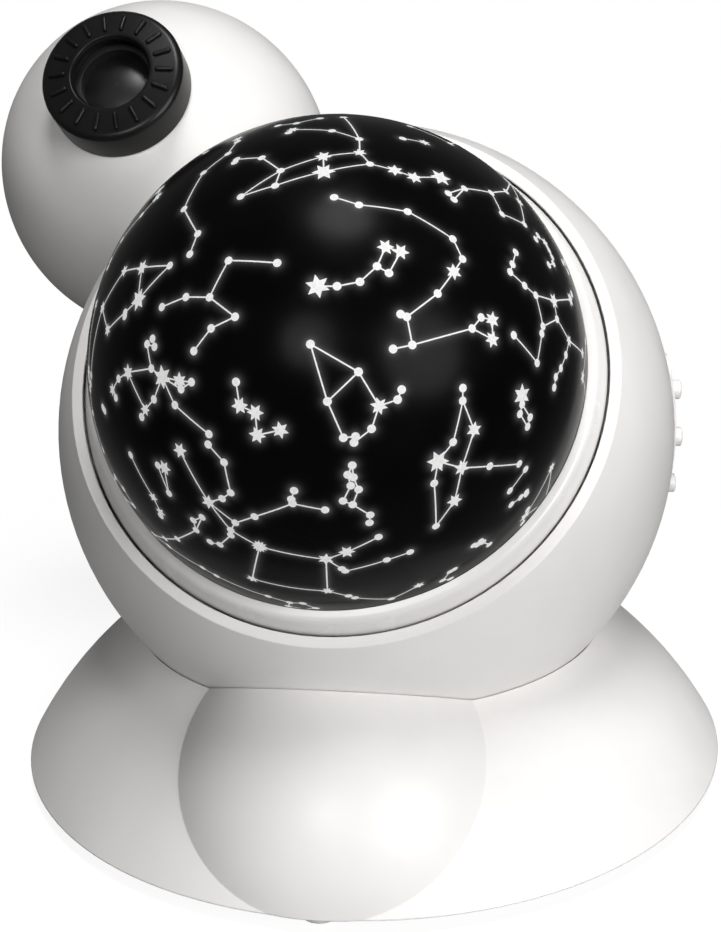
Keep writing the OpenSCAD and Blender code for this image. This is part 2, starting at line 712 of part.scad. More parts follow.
module motor_pinion() color("#efe9d8") placed() star_axis() rotate([0, 0, motor_turn])
  translate([gear_reach, 0, 0]) difference() {
  translate([0, 0, gear_z + 0.1]) linear_extrude(height = gear_h - 0.2)
    polygon(tooth_pts(pinion_teeth, pinion_root_r, pinion_tip_r, -tooth_play));
  translate([0, 0, gear_z - 1]) cylinder(h = gear_h + 2, r = shaft_r);
}
module ring_gear() color("#efe9d8") placed() star_axis()
  translate([0, 0, gear_z]) linear_extrude(height = gear_h) difference() {
  circle(r = ring_out_r, $fn = 144);
  polygon(tooth_pts(ring_teeth, ring_tip_r, ring_root_r, tooth_play));
}
module dome_collar() color("#f8f7f4") placed() star_axis() rotate_extrude($fn = 180) polygon([
  [collar_bore_r, gear_top], [ring_out_r, gear_top], [ring_out_r, gear_z], [collar_r - 0.8, gear_z],
    [collar_r, gear_z + 1.5],
  [collar_r, lip_axial - 0.4], [collar_r - 2, collar_crest - 1.3], [collar_r - 2.7, collar_crest - 0.6],
    [dome_r + screw_fit, collar_crest],
  [dome_r + screw_fit, collar_shelf], [collar_bore_r, collar_shelf]]);
module dome_keeper() color("#d8d6d0") placed() star_axis() difference() {
  translate([0, 0, hub_top]) ring(keeper_out, hub_in - 2, keeper_t);
  around(keeper_turns, hub_in) translate([0, 0, hub_top - 1])
    cylinder(h = keeper_t + 2, r = keeper_screw_r + 0.1);
}
module keeper_screws() color("#9a9c9f") placed() star_axis() around(keeper_turns, hub_in)
  translate([0, 0, hub_top + keeper_t]) mirror([0, 0, 1]) screw(5.5, keeper_screw_r, 1.4, 0.8);
module dome_profile(r_in, z_low) union() {
  intersection() {
    translate([0, dome_ball_z]) circle(r = dome_ball_r - r_in, $fn = 240);
    translate([0, dome_seat]) square([big, big]);
  }
  translate([0, z_low]) square([dome_r - r_in, dome_seat - z_low + tiny]);
}
module star_dome() color("#0b0b0d") placed() star_axis() rotate_extrude($fn = 180) difference() {
  dome_profile(0, collar_shelf + tiny);
  dome_profile(dome_wall, collar_shelf - 5);
}
module star_lamp() color("#f2f0d8") placed() star_axis() union() {
  translate([0, 0, lamp_post_top]) cylinder(h = lamp_board_t, r = lamp_board_r);
  translate([0, 0, lamp_post_top + lamp_board_t - tiny]) cylinder(h = 1.4, r = 1.6);
}

// ---------- pod ----------
module pod_solid(inset) union() {
  part_axis() sphere(r = pod_r - inset, $fn = 144);
  neck_axis() translate([0, 0, neck_r * sin(neck_taper)]) cylinder(
    h = neck_len + (pod_r - neck_r) * sin(neck_taper), r1 = neck_r * cos(neck_taper) - inset,
    r2 = pod_r * cos(neck_taper) - neck_step - inset, $fn = 144);
}
module pod_shell() difference() {
  pod_solid(0);
  difference() {
    pod_solid(wall);
    ball_round(ball_r + pod_gap + wall, false);
  }
  ball_round(ball_r + pod_gap, false);
  lens_axis() translate([0, 0, frame_z]) cylinder(h = 60, r = barrel_r + pass_fit);
  lens_axis() rotate([0, 0, disc_turn]) translate([disc_offset, 0, slot_z - slot_h / 2])
    cylinder(h = slot_h, r = disc_r + 0.5);
}
module pod_bosses(front) intersection() {
  part_axis() for (p = pod_spots) translate([p[0], p[1], front ? 0 : -60])
    cylinder(h = 60, r = pod_boss_r);
  pod_solid(wall / 2);
  front_or_rear(front);
}
module front_or_rear(front) part_axis() translate([-big / 2, -big / 2, front ? 0 : -big])
  cube([big, big, big]);
module pod_front() color("#f6f5f2") placed() difference() {
  union() {
    intersection() {
      pod_shell();
      front_or_rear(true);
    }
    pod_bosses(true);
    intersection() {
      lens_axis() around(frame_turns, frame_post_out) translate([0, 0, frame_top])
        cylinder(h = 60, r = frame_post_r);
      pod_solid(wall / 2);
    }
    intersection() {
      lens_axis() translate([0, 0, flange_z + flange_t]) ring(flange_r + 0.5, barrel_r + pass_fit, 20);
      pod_solid(wall / 2);
    }
  }
  part_axis() for (p = pod_spots) translate([p[0], p[1], -1]) cylinder(h = pod_boss_depth, r = pilot_r);
  ball_round(ball_r + pod_gap, false);
  lens_axis() around(frame_turns, frame_post_out) translate([0, 0, frame_top - 1])
    cylinder(h = 9, r = pilot_r);
  lens_axis() around([30, 150, 270], flange_screw_out) translate([0, 0, flange_z])
    cylinder(h = 5, r = flange_pilot_r);
}
module pod_rear() color("#f6f5f2") placed() difference() {
  union() {
    intersection() {
      pod_shell();
      front_or_rear(false);
    }
    pod_bosses(false);
  }
  part_axis() for (p = pod_spots) translate([p[0], p[1], -20]) cylinder(h = 22, r = clear_r);
  part_axis() for (p = pod_spots) translate([p[0], p[1], -68]) cylinder(h = 60, r = well_r);
  foot_axis() around(foot_turns, foot_screw_off) translate([0, 0, ball_r - 10])
    cylinder(h = 20, r = clear_r);
  foot_axis() around(foot_turns, foot_screw_off) translate([0, 0, ball_r + wall - 0.6])
    cylinder(h = 10, r = well_r);
  foot_wire_cut();
}
module pod_screws() color("#9a9c9f") placed() part_axis() for (p = pod_spots) translate([p[0], p[1], -8])
  screw(14);
module foot_screws() color("#9a9c9f") placed() foot_axis() around(foot_turns, foot_screw_off)
  translate([0, 0, ball_r + wall - 0.6]) mirror([0, 0, 1]) screw(8);
module lens_barrel() color("#1b1b1c") placed() lens_axis() difference() {
  union() {
    translate([0, 0, flange_z]) cylinder(h = flange_t, r = flange_r);
    translate([0, 0, flange_z]) cylinder(h = barrel_top - flange_z, r = barrel_r);
    translate([0, 0, barrel_top - rim_t]) cylinder(h = rim_t, r = rim_r);
  }
  translate([0, 0, flange_z - 1]) cylinder(h = 30, r = barrel_in_r);
  around([30, 150, 270], flange_screw_out) translate([0, 0, flange_z - 1])
    cylinder(h = 5, r = flange_screw_r + 0.1);
}
module barrel_screws() color("#9a9c9f") placed() lens_axis() around([30, 150, 270], flange_screw_out)
  translate([0, 0, flange_z]) screw(3.8, flange_screw_r, 1.7, 1);
module focus_ring() color("#131314") placed() difference() {
  lens_axis() difference() {
    union() {
      translate([0, 0, flange_z + 2]) cylinder(h = ring_face - flange_z - 2.8, r = ring_r, $fn = 144);
      translate([0, 0, ring_face - 0.8]) cylinder(h = 0.8, r1 = ring_r, r2 = ring_r - 0.8, $fn = 144);
      for (i = [0 : bar_n - 1]) rotate([0, 0, 360 / bar_n * i])
        translate([bar_in, -bar_w / 2, ring_face - 1]) cube([bar_out - bar_in, bar_w, 1 + bar_h]);
    }
    translate([0, 0, 0]) cylinder(h = 80, r = mouth_r);
    translate([0, 0, 0]) cylinder(h = recess_bottom, r = ring_bore_r);
    translate([0, 0, recess_bottom]) cylinder(h = recess_top - recess_bottom, r = rim_r + pass_fit);
  }
  pod_solid(-hug_gap);
}
module lens_cell() color("#1b1b1c") placed() lens_axis() translate([0, 0, cell_ring_z])
  ring(cell_ring_r, cell_ring_in + screw_fit, cell_ring_l);
module objective_lens() color("#aebfd0") placed() lens_axis() intersection() {
  translate([0, 0, lens_mid - 4]) cylinder(h = 8, r = cell_ring_in);
  translate([0, 0, lens_mid - sqrt(lens_ball_r * lens_ball_r - cell_ring_in * cell_ring_in) + lens_edge
    / 2]) sphere(r = lens_ball_r, $fn = 300);
  translate([0, 0, lens_mid + sqrt(lens_ball_r * lens_ball_r - cell_ring_in * cell_ring_in) - lens_edge
    / 2]) sphere(r = lens_ball_r, $fn = 300);
}
module optic_frame() color("#3a3b3e") placed() lens_axis() difference() {
  union() {
    translate([0, 0, frame_z]) cylinder(h = frame_t, r = frame_r);
    around(frame_turns, frame_post_out) translate([0, 0, frame_z]) cylinder(h = frame_t, r = 5);
    around(frame_turns, 0) translate([20, -4, frame_z]) cube([frame_post_out - 20, 8, frame_t]);
    rotate([0, 0, disc_turn]) translate([disc_offset, 0, frame_z])
      cylinder(h = pin_top - frame_z, r = pin_r);
    rotate([0, 0, disc_turn]) translate([disc_offset, 0, frame_z])
      cylinder(h = disc_z - run_gap - frame_z, r = pin_r + 2);
    around([33, 153, 273], lamp_leg_out) translate([0, 0, lamp_z])
      cylinder(h = frame_z - lamp_z + 1, r = lamp_leg_r);
  }
  translate([0, 0, frame_z - 1]) cylinder(h = frame_t + 2, r = condenser_r + screw_fit);
  around(frame_turns, frame_post_out) translate([0, 0, frame_z - 1])
    cylinder(h = frame_t + 2, r = clear_r);
}
module frame_screws() color("#9a9c9f") placed() lens_axis() around(frame_turns, frame_post_out)
  translate([0, 0, frame_z]) screw(9);
module condenser_lens() color("#aebfd0") placed() lens_axis() intersection() {
  translate([0, 0, frame_z]) cylinder(h = 6, r = condenser_r);
  translate([0, 0, frame_z + frame_t - 1 - 14]) sphere(r = 15.8, $fn = 200);
}
module picture_lamp() color("#c9ccd0") placed() lens_axis() union() {
  translate([0, 0, lamp_z - lamp_plate_t]) cylinder(h = lamp_plate_t, r = lamp_plate_r);
  translate([0, 0, lamp_z - tiny]) cylinder(h = 2.2, r = 2.6);
  difference() {
    translate([0, 0, lamp_z - lamp_plate_t - sink_t]) cylinder(h = sink_t + tiny, r = sink_r);
    for (i = [0 : fin_n - 1])
      translate([-20, (i - (fin_n - 1) / 2) * 4.6 - fin_gap / 2, lamp_z - lamp_plate_t - sink_t - 1])
        cube([40, fin_gap, sink_t - 1]);
  }
}
module picture_disc() color("#232427") placed() lens_axis() rotate([0, 0, disc_turn])
  translate([disc_offset, 0, disc_z]) difference() {
  cylinder(h = disc_t, r = disc_r, $fn = 144);
  translate([0, 0, -1]) cylinder(h = disc_t + 2, r = disc_bore_r);
  for (i = [0 : window_n - 1]) rotate([0, 0, 360 / window_n * i]) translate([-disc_offset, 0, -1])
    cylinder(h = disc_t + 2, r = window_r);
  for (i = [0 : 47]) rotate([0, 0, 7.5 * i]) translate([disc_r + 0.2, 0, -1])
    cylinder(h = disc_t + 2, r = 0.7, $fn = 16);
}
module picture_film() color("#5b7fb0") placed() lens_axis() rotate([0, 0, disc_turn])
  translate([disc_offset, 0, disc_z + disc_t]) ring(disc_r - film_edge, film_in, film_t);

base_shell();
base_plate();
battery_door();
door_screw();
base_screws();
rubber_feet();
cells();
cell_contacts();
dc_jack();
front_shell();
rear_shell();
seam_screws();
clamp_ring();
floor_screws();
button_panel();
button_top();
button_middle();
button_bottom_key();
status_pips();
control_board();
key_switches();
board_screws();
star_deck();
deck_screws();
star_motor();
motor_screws();
motor_shaft();
motor_pinion();
ring_gear();
dome_collar();
dome_keeper();
keeper_screws();
star_dome();
star_lamp();
pod_front();
pod_rear();
pod_screws();
foot_screws();
lens_barrel();
barrel_screws();
focus_ring();
lens_cell();
objective_lens();
optic_frame();
frame_screws();
condenser_lens();
picture_lamp();
picture_disc();
picture_film();
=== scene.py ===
"""Looks of the planetarium projector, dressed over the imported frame. Metres, +Z up, the dome looks to -Y."""
import math
import bpy
import numpy as np
from mathutils import Matrix, Vector


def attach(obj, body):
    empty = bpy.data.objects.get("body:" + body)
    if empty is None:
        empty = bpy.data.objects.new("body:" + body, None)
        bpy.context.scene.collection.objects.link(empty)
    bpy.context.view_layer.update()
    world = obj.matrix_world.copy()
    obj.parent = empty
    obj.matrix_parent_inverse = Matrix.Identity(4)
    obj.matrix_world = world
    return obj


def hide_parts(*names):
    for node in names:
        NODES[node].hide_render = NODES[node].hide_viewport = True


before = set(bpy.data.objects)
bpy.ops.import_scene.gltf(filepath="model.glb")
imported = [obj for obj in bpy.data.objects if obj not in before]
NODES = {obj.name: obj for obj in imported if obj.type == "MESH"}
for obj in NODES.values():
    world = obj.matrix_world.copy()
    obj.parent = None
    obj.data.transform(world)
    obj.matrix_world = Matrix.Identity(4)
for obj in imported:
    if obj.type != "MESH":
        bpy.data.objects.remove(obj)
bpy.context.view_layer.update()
MM = 0.001

# ---------- frames of the object, in millimetres ----------
SHIFT = Vector((12.35, -9.4764, 0))
BALL = Vector((0, 0, 87)) + SHIFT
POD = Vector((-69.7, 67.3, 150.9)) + SHIFT


def tilted(origin, degrees):
    """Frame whose z axis leans up from the front by so many degrees, x to the right."""
    a = math.radians(degrees)
    z = Vector((0, -math.cos(a), math.sin(a)))
    y = Vector((0, math.sin(a), math.cos(a)))
    m = Matrix.Identity(4)
    for i, v in enumerate((Vector((1, 0, 0)), y, z, origin)):
        m.col[i][:3] = v
    return m


DOME_TILT, LENS_TILT, PANEL_TURN = 32.7, 31.5, 3
STAR = tilted(BALL, DOME_TILT)
LENS = tilted(POD, LENS_TILT)
turn = math.radians(PANEL_TURN)
PANEL = Matrix.Identity(4)
for i, v in enumerate((Vector((0, 0, -1)), Vector((-math.sin(turn), math.cos(turn), 0)),
                       Vector((math.cos(turn), math.sin(turn), 0)), BALL)):
    PANEL.col[i][:3] = v

# sizes of the dome, as in the CAD solids: seat and rise along its axis, its wall and the collar's shelf
DOME_R, DOME_SEAT, DOME_RISE = 56.6, 52.0, 54.2
DOME_BALL_R = (DOME_R ** 2 + DOME_RISE ** 2) / (2 * DOME_RISE)
DOME_BALL_Z = DOME_SEAT + DOME_RISE - DOME_BALL_R
DOME_WALL = 1.4
SHELF = 47.6
REST_GAP = 0.3


# ---------- mesh helpers ----------
def new_piece(name, verts, faces, body, material, replaces=None):
    """A smooth mesh object that rides on a body and stands in for a CAD node where one is named."""
    me = bpy.data.meshes.new(name)
    me.from_pydata([tuple(v) for v in verts], [], faces)
    me.validate()
    me.update()
    ob = bpy.data.objects.new(name, me)
    bpy.context.scene.collection.objects.link(ob)
    me.polygons.foreach_set("use_smooth", [True] * len(me.polygons))
    me.materials.append(material)
    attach(ob, body)
    if replaces:
        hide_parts(replaces)
    return ob


def rounded(points, radii, n):
    """A polyline in the r-z plane with its corners rounded by n steps each; the ends stay sharp."""
    out = []
    last = len(points)
    for i, (p, r) in enumerate(zip(points, radii)):
        if r <= 0 or i in (0, last - 1):
            out.append(p)
            continue
        p = Vector(p)
        a = Vector(points[i - 1]) - p
        b = Vector(points[i + 1]) - p
        cut = min(r, a.length * 0.48, b.length * 0.48)
        a, b = p + a.normalized() * cut, p + b.normalized() * cut
        for k in range(n + 1):
            t = k / n
            q = a * (1 - t) ** 2 + p * 2 * t * (1 - t) + b * t * t
            out.append((q.x, q.y))
    return out


def lathe(profile, frame_m, segments, closed=False):
    """Spins an r-z profile, in millimetres, about the frame's z axis."""
    verts, faces = [], []
    rings = []
    for r, z in profile:
        if r < 1e-6:
            rings.append([len(verts)])
            verts.append(frame_m @ Vector((0, 0, z)) * MM)
            continue
        ring = []
        for k in range(segments):
            a = 2 * math.pi * k / segments
            ring.append(len(verts))
            verts.append(frame_m @ Vector((r * math.cos(a), r * math.sin(a), z)) * MM)
        rings.append(ring)
    pairs = list(zip(rings, rings[1:]))
    if closed:
        pairs.append((rings[-1], rings[0]))
    for a, b in pairs:
        for k in range(segments):
            k2 = (k + 1) % segments
            if len(a) == 1 and len(b) == 1:
                break
            if len(a) == 1:
                faces.append((a[0], b[k2], b[k]))
            elif len(b) == 1:
                faces.append((a[k], a[k2], b[0]))
            else:
                faces.append((a[k], a[k2], b[k2], b[k]))
    return verts, faces


# ---------- materials ----------
def material(name):
    """An empty node material with one Principled shader."""
    m = bpy.data.materials.new(name)
    m.use_nodes = True
    nt = m.node_tree
    nt.nodes.clear()
    out = nt.nodes.new("ShaderNodeOutputMaterial")
    sh = nt.nodes.new("ShaderNodeBsdfPrincipled")
    nt.links.new(sh.outputs[0], out.inputs[0])
    return m, nt, sh


def coords(nt):
    """Object coordinates in millimetres, so that patterns keep their real size."""
    tc = nt.nodes.new("ShaderNodeTexCoord")
    mp = nt.nodes.new("ShaderNodeMapping")
    mp.inputs["Scale"].default_value = (1000.0,) * 3
    nt.links.new(tc.outputs["Object"], mp.inputs[0])
    return mp.outputs[0]


def noise(nt, where, scale, detail=3.0, rough=0.5, stretch=None):
    n = nt.nodes.new("ShaderNodeTexNoise")
    n.inputs["Scale"].default_value = scale
    n.inputs["Detail"].default_value = detail
    n.inputs["Roughness"].default_value = rough
    if stretch:
        mp = nt.nodes.new("ShaderNodeMapping")
        mp.inputs["Scale"].default_value = stretch
        nt.links.new(where, mp.inputs[0])
        where = mp.outputs[0]
    nt.links.new(where, n.inputs["Vector"])
    return n.outputs["Fac"]


def ramp(nt, fac, stops):
    r = nt.nodes.new("ShaderNodeValToRGB")
    el = r.color_ramp.elements
    while len(el) < len(stops):
        el.new(0.5)
    for e, (p, c) in zip(el, stops):
        e.position = p
        e.color = tuple(c) + (1,) if len(c) == 3 else tuple(c)
    nt.links.new(fac, r.inputs[0])
    return r.outputs[0]


def math_node(nt, op, a, b=None):
    n = nt.nodes.new("ShaderNodeMath")
    n.operation = op
    for i, v in enumerate((a, b)):
        if v is None:
            continue
        if isinstance(v, (int, float)):
            n.inputs[i].default_value = v
        else:
            nt.links.new(v, n.inputs[i])
    return n.outputs[0]


def remap(nt, v, a, b, c, d):
    """Takes v from the range a to b to the range c to d."""
    n = nt.nodes.new("ShaderNodeMapRange")
    nt.links.new(v, n.inputs[0])
    for i, x in enumerate((a, b, c, d)):
        n.inputs[i + 1].default_value = x
    return n.outputs[0]


def mix_colour(nt, fac, a, b):
    n = nt.nodes.new("ShaderNodeMix")
    n.data_type = "RGBA"
    for s, v in ((n.inputs[0], fac), (n.inputs[6], a), (n.inputs[7], b)):
        if isinstance(v, (int, float)):
            s.default_value = v
        elif isinstance(v, (tuple, list)):
            s.default_value = tuple(v) + (1,) if len(v) == 3 else tuple(v)
        else:
            nt.links.new(v, s)
    return n.outputs[2]


def bump(nt, sh, height, strength, distance_mm, edge_mm=0.0):
    """Bump from a height, over edges that look rounded by edge_mm."""
    b = nt.nodes.new("ShaderNodeBump")
    b.inputs["Strength"].default_value = strength
    b.inputs["Distance"].default_value = distance_mm * MM
    nt.links.new(height, b.inputs["Height"])
    if edge_mm:
        e = nt.nodes.new("ShaderNodeBevel")
        e.samples = 6
        e.inputs[0].default_value = edge_mm * MM
        nt.links.new(e.outputs[0], b.inputs["Normal"])
    nt.links.new(b.outputs[0], sh.inputs["Normal"])


def plane_distance(nt, where, normal, through_mm):
    """Distance in millimetres from a plane, by object coordinates."""
    dot = nt.nodes.new("ShaderNodeVectorMath")
    dot.operation = "DOT_PRODUCT"
    nt.links.new(where, dot.inputs[0])
    dot.inputs[1].default_value = normal
    d = math_node(nt, "SUBTRACT", dot.outputs["Value"], through_mm)
    return math_node(nt, "ABSOLUTE", d)


def plastic(name, colour, rough=0.36, grain=0.16, grain_mm=0.9, tone=0.02, edge=0.45, seam=None):
    """Moulded plastic: faint mottle, fine mould grain, uneven gloss, and a seam where given, bumped in as a
    channel and darkened with painted shade.
    """
    m, nt, sh = material(name)
    xyz = coords(nt)
    broad = noise(nt, xyz, 0.03, 4)
    fine = noise(nt, xyz, 1.0 / grain_mm, 5, 0.6)
    speck = noise(nt, xyz, 0.35, 6, 0.7)
    dark = tuple(c * (1 - tone * 2.2) for c in colour)
    pale = tuple(min(1, c * (1 + tone)) for c in colour)
    col = ramp(nt, broad, [(0.3, dark), (0.7, pale)])
    col = mix_colour(nt, remap(nt, speck, 0.60, 0.8, 0, 0.03), col, tuple(c * 0.7 for c in colour))
    height = math_node(nt, "MULTIPLY", fine, 0.5)
    if seam:
        # Along the seam the surface is bumped in and its colour darkened: painted shade in the channel.
        groove_and_painted_shade = remap(nt, plane_distance(nt, xyz, *seam), 0.06, 0.20, 1, 0)
        col = mix_colour(nt, math_node(nt, "MULTIPLY", groove_and_painted_shade, 0.55), col, tuple(c * 0.30 for c in colour))
        height = math_node(nt, "SUBTRACT", height, math_node(nt, "MULTIPLY", groove_and_painted_shade, 6.0))
    nt.links.new(col, sh.inputs["Base Color"])
    mott = noise(nt, xyz, 0.12, 4, 0.6)
    nt.links.new(remap(nt, mott, 0.3, 0.75, rough - 0.05, rough + 0.07), sh.inputs["Roughness"])
    sh.inputs["IOR"].default_value = 1.40
    bump(nt, sh, height, grain, 0.05, edge)
    return m


def metal(name, colour, rough=0.3, brushed=(1, 1, 14), edge=0.15):
    """Metal with fine lines along its brushing and a faint blotch."""
    m, nt, sh = material(name)
    xyz = coords(nt)
    lines = noise(nt, xyz, 0.9, 4, 0.6, brushed)
    blot = noise(nt, xyz, 0.15, 3)
    tone = ramp(nt, blot, [(0.35, tuple(c * 0.86 for c in colour)), (0.7, colour)])
    nt.links.new(tone, sh.inputs["Base Color"])
    nt.links.new(remap(nt, lines, 0.25, 0.75, rough - 0.08, rough + 0.1), sh.inputs["Roughness"])
    sh.inputs["Metallic"].default_value = 1.0
    bump(nt, sh, lines, 0.25, 0.04, edge)
    return m


def glass(name, colour, rough=0.03):
    """Clear plastic with a little dust."""
    m, nt, sh = material(name)
    xyz = coords(nt)
    dust = noise(nt, xyz, 2.2, 8, 0.75)
    tone = ramp(nt, dust, [(0.3, colour), (0.8, tuple(c * 0.93 for c in colour))])
    nt.links.new(tone, sh.inputs["Base Color"])
    nt.links.new(remap(nt, dust, 0.55, 0.8, rough, rough + 0.25), sh.inputs["Roughness"])
    sh.inputs["Transmission Weight"].default_value = 1.0
    sh.inputs["IOR"].default_value = 1.49
    return m


WHITE = (0.815, 0.80, 0.785)
SEAM_TILT, SEAM_SIDE, SEAM_BACK = 36, 15, 4.0
NECK_END = Vector((-18.5, 38.2, -21.2))
seam_a, seam_b = math.radians(SEAM_TILT), math.radians(SEAM_SIDE)
seam_z = Vector((math.sin(seam_b) * math.cos(seam_a), -math.cos(seam_b) * math.cos(seam_a), math.sin(seam_a)))
ball_seam = (tuple(seam_z), seam_z.dot(BALL) - SEAM_BACK)
neck_end = BALL + NECK_END
neck = (POD - neck_end).normalized()
look = LENS.col[2].to_3d()
part_z = (look - look.dot(neck) * neck).normalized()
pod_seam = (tuple(part_z), part_z.dot(POD))


